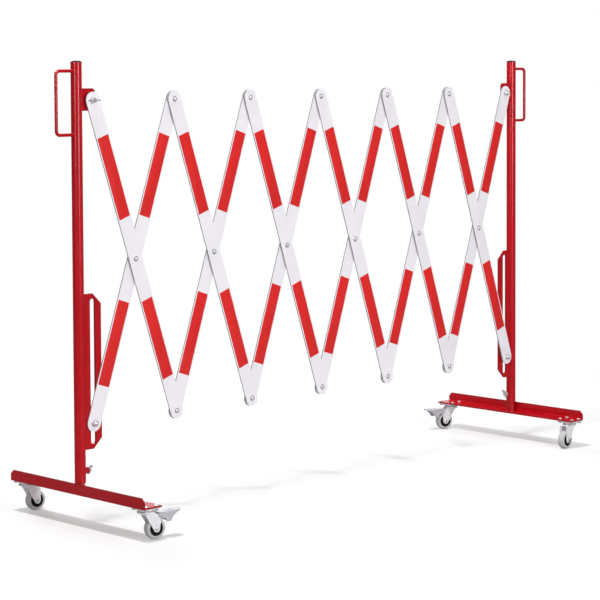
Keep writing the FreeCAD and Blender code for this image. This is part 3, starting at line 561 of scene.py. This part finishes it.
def make_tyre(castor):
    """Moulded tyre with two grooves in each half of its tread, in place of the plain CAD tyre."""
    centre, axis = joint_frame(f"{castor}_wheel_spin")
    profile = list(TYRE_HALF) + [(radius, -along) for radius, along in reversed(TYRE_HALF[1:])]
    bm = bmesh.new()
    add_spun(bm, profile, centre, axis, TYRE_STEPS)
    tyre = piece(f"{castor}_moulded_tyre", bm, "grey_rubber", f"{castor}_wheel")
    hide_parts(f"{castor}_tyre")


def make_ribs(castor):
    """Moulded ribs between hub and rim on both sides of the wheel centre."""
    centre, axis = joint_frame(f"{castor}_wheel_spin")
    side = axis.orthogonal().normalized()
    inner, outer = RIB_REACH
    foot, top = RIB_RISE
    bm = bmesh.new()
    for face in (1, -1):
        base = centre + axis * face * foot
        for rib in range(RIB_COUNT):
            out = Matrix.Rotation(2 * math.pi * rib / RIB_COUNT, 3, axis) @ side
            add_ridge(bm, base + out * inner, base + out * outer, axis * face, RIB_WIDTH, top - foot)
    piece(f"{castor}_wheel_ribs", bm, "black_plastic", f"{castor}_wheel")


def make_seal(castor):
    """Dust seal in the gap between the two races."""
    place, _ = joint_frame(f"{castor}_swivel_turn")
    bm = bmesh.new()
    add_spun(bm, SEAL, Vector((place.x, place.y, SEAL_HEIGHT)), UP, SEAL_STEPS)
    piece(f"{castor}_dust_seal", bm, "black_plastic", f"{castor}_swivel")


def make_grips(castor):
    """Ridges across the tread of the brake pedal."""
    pin, axis = joint_frame(f"{castor}_brake_press")
    place, _ = joint_frame(f"{castor}_swivel_turn")
    away = Vector((pin.x - place.x, pin.y - place.y, 0)).normalized()
    bm = bmesh.new()
    for reach in GRIP_REACHES:
        middle = pin + away * reach + UP * GRIP_HEIGHT
        half = axis * GRIP_LENGTH / 2
        add_ridge(bm, middle - half, middle + half, UP, GRIP_WIDTH, GRIP_RISE)
    piece(f"{castor}_pedal_grips", bm, "zinc_pedal", f"{castor}_brake_pedal")


def make_castors():
    for castor in CASTORS:
        make_tyre(castor)
        make_ribs(castor)
        make_seal(castor)
    for castor in BRAKED:
        make_grips(castor)


# ---------------------------------------------------------------- floor and room

FLOOR_RADIUS = 9.0
FLOOR_SIDES = 96
FLOOR_SHADE = 0.54              # share of the light that the floor gives back
MIRRORED_SHADE = 0.18           # the same in reflections
FLOOR_FADE = (1.3, 2.3)         # from the middle: where the floor starts to turn white, and where it is white
BACKDROP = (0.707, 0.707, 0.0)  # straight away from the camera, level
BACKDROP_TURN = (0.6, 0.95)     # cosine to that direction, at the rim of the bright backdrop and well inside it
ROOM_SHADE = 0.12               # how bright the rest of the room is in reflections
WORLD_LEVEL = 0.42              # even light on the object from all round
# light added to what the camera sees of the floor, which evens out the lamps and leaves the shadows
DEPTH_SPAN = (-1.5, 1.3)        # along the backdrop's direction, from the near side to the far side
DEPTH_LIFT = (0.255, 0.42)
MIDDLE_SPAN = (0.2, 1.2)        # from the middle, which the top lamp lights most
MIDDLE_LIFT = (-0.05, 0.0)


def ray_kinds(tree):
    """Light Path outputs: 1 for rays from the camera, and 1 for rays from a mirror or through glass."""
    path = add(tree, "LightPath").outputs
    return path["Is Camera Ray"], maths(tree, "MAXIMUM", path["Is Glossy Ray"], path["Is Transmission Ray"])


def room_glow(tree, direction):
    """What reflections see far away: a white backdrop straight behind the object in a darker room."""
    unit = add(tree, "VectorMath", {"operation": "NORMALIZE"}, {0: direction}).outputs["Vector"]
    return between(tree, dot(tree, unit, BACKDROP), BACKDROP_TURN, (ROOM_SHADE, 1.0))


def emission(tree, strength):
    return add(tree, "Emission", inputs={"Strength": strength}).outputs[0]


def floor_material():
    """Pale with the object's shadows nearby. Further away, white to the camera and the room to a mirror."""
    mat, tree = fresh_material("floor_white")
    camera_ray, mirror_ray = ray_kinds(tree)
    coords = object_coords(tree)
    reach = add(tree, "VectorMath", {"operation": "LENGTH"}, {0: coords}).outputs["Value"]
    shade = between(tree, mirror_ray, (0.0, 1.0), (FLOOR_SHADE, MIRRORED_SHADE))
    diffuse = add(tree, "BsdfDiffuse", inputs={"Color": shade}).outputs["BSDF"]
    lift = maths(tree, "ADD", between(tree, dot(tree, coords, BACKDROP), DEPTH_SPAN, DEPTH_LIFT),
                 between(tree, reach, MIDDLE_SPAN, MIDDLE_LIFT))
    lift = emission(tree, maths(tree, "MULTIPLY", camera_ray, lift))
    near = add(tree, "AddShader", inputs={0: diffuse, 1: lift}).outputs[0]
    far = emission(tree, maths(tree, "MAXIMUM", camera_ray, room_glow(tree, coords)))
    seen = maths(tree, "MAXIMUM", camera_ray, mirror_ray)
    away = maths(tree, "MULTIPLY", between(tree, reach, FLOOR_FADE, (0.0, 1.0)), seen)
    mixed = add(tree, "MixShader", inputs={0: away, 1: near, 2: far}).outputs[0]
    add(tree, "OutputMaterial", inputs={"Surface": mixed})
    return mat


def make_floor():
    bm = bmesh.new()
    bmesh.ops.create_circle(bm, cap_ends=True, radius=FLOOR_RADIUS, segments=FLOOR_SIDES)
    mesh = bpy.data.meshes.new("floor")
    bm.to_mesh(mesh)
    bm.free()
    mesh.materials.append(floor_material())
    floor = placed("floor", mesh)


def make_world():
    """White to the camera, an even grey light on the object, and in reflections the room."""
    world = bpy.data.worlds.new("studio")
    bpy.context.scene.world = world
    world.use_nodes = True
    tree = world.node_tree
    tree.nodes.clear()
    camera_ray, mirror_ray = ray_kinds(tree)
    direction = add(tree, "TexCoord").outputs["Generated"]
    in_mirror = maths(tree, "MULTIPLY", mirror_ray, room_glow(tree, direction))
    seen = maths(tree, "MAXIMUM", camera_ray, mirror_ray)
    lit = maths(tree, "MULTIPLY", maths(tree, "SUBTRACT", 1.0, seen), WORLD_LEVEL)
    strength = maths(tree, "ADD", camera_ray, maths(tree, "ADD", in_mirror, lit))
    sky = add(tree, "Background", inputs={"Color": (1, 1, 1, 1), "Strength": strength})
    add(tree, "OutputWorld", inputs={"Surface": sky.outputs[0]})


# ---------------------------------------------------------------- lamps and camera

CAMERA_PLACE = Vector((-3.8108, -3.745, 1.0793))
CAMERA_YAW = math.radians(45.01)        # from +Y towards +X
CAMERA_PITCH = math.radians(3.0)        # downwards
CAMERA_ROLL = math.radians(0.263)
CAMERA_LENS = 121.78                    # in millimetres, as is the sensor
CAMERA_SENSOR = 36
CAMERA_SHIFT = -0.2065


def make_lamp(name, place, target, size, watts, only_glints=False):
    """A softbox: an area lamp that faces its target, its height towards the vertical or towards +Y."""
    light = bpy.data.lights.new(name, "AREA")
    light.shape = "RECTANGLE"
    light.size, light.size_y = size
    light.energy = watts
    lamp = placed(name, light)
    lamp.location = place
    lamp.rotation_euler = (Vector(target) - Vector(place)).to_track_quat("-Z", "Y").to_euler()
    lamp.visible_diffuse = not only_glints


def make_lamps():
    make_lamp("front_softbox", (-0.5, -4.4, 1.7), (0, 0, 0.9), (1.2, 2.4), 100)
    make_lamp("back_softbox", (0.9, 4.6, 2.4), (0, 0, 0.7), (2.0, 2.0), 90)
    make_lamp("end_strip", (-4.7, -1.6, 1.95), (-0.8, 0, 0.9), (0.5, 2.4), 60, only_glints=True)
    make_lamp("top_softbox", (-1.5, -0.2, 5.4), (0, 0, 0.2), (0.8, 0.14), 205)


def make_camera():
    forward = Vector((math.sin(CAMERA_YAW) * math.cos(CAMERA_PITCH),
                      math.cos(CAMERA_YAW) * math.cos(CAMERA_PITCH), -math.sin(CAMERA_PITCH)))
    right = forward.cross(UP).normalized()
    up = right.cross(forward)
    tilted_right = right * math.cos(CAMERA_ROLL) - up * math.sin(CAMERA_ROLL)
    tilted_up = right * math.sin(CAMERA_ROLL) + up * math.cos(CAMERA_ROLL)
    data = bpy.data.cameras.new("camera")
    data.sensor_width = CAMERA_SENSOR
    data.lens = CAMERA_LENS
    data.shift_y = CAMERA_SHIFT
    camera = placed("camera", data)
    turn = Matrix((tilted_right, tilted_up, -forward)).transposed().to_4x4()
    camera.matrix_world = Matrix.Translation(CAMERA_PLACE) @ turn
    bpy.context.scene.camera = camera


def make_studio():
    make_floor()
    make_world()
    make_lamps()
    make_camera()
    bpy.context.scene.view_settings.view_transform = "Standard"


dress_cad()
make_tapes()
make_welds()
make_castors()
make_studio()
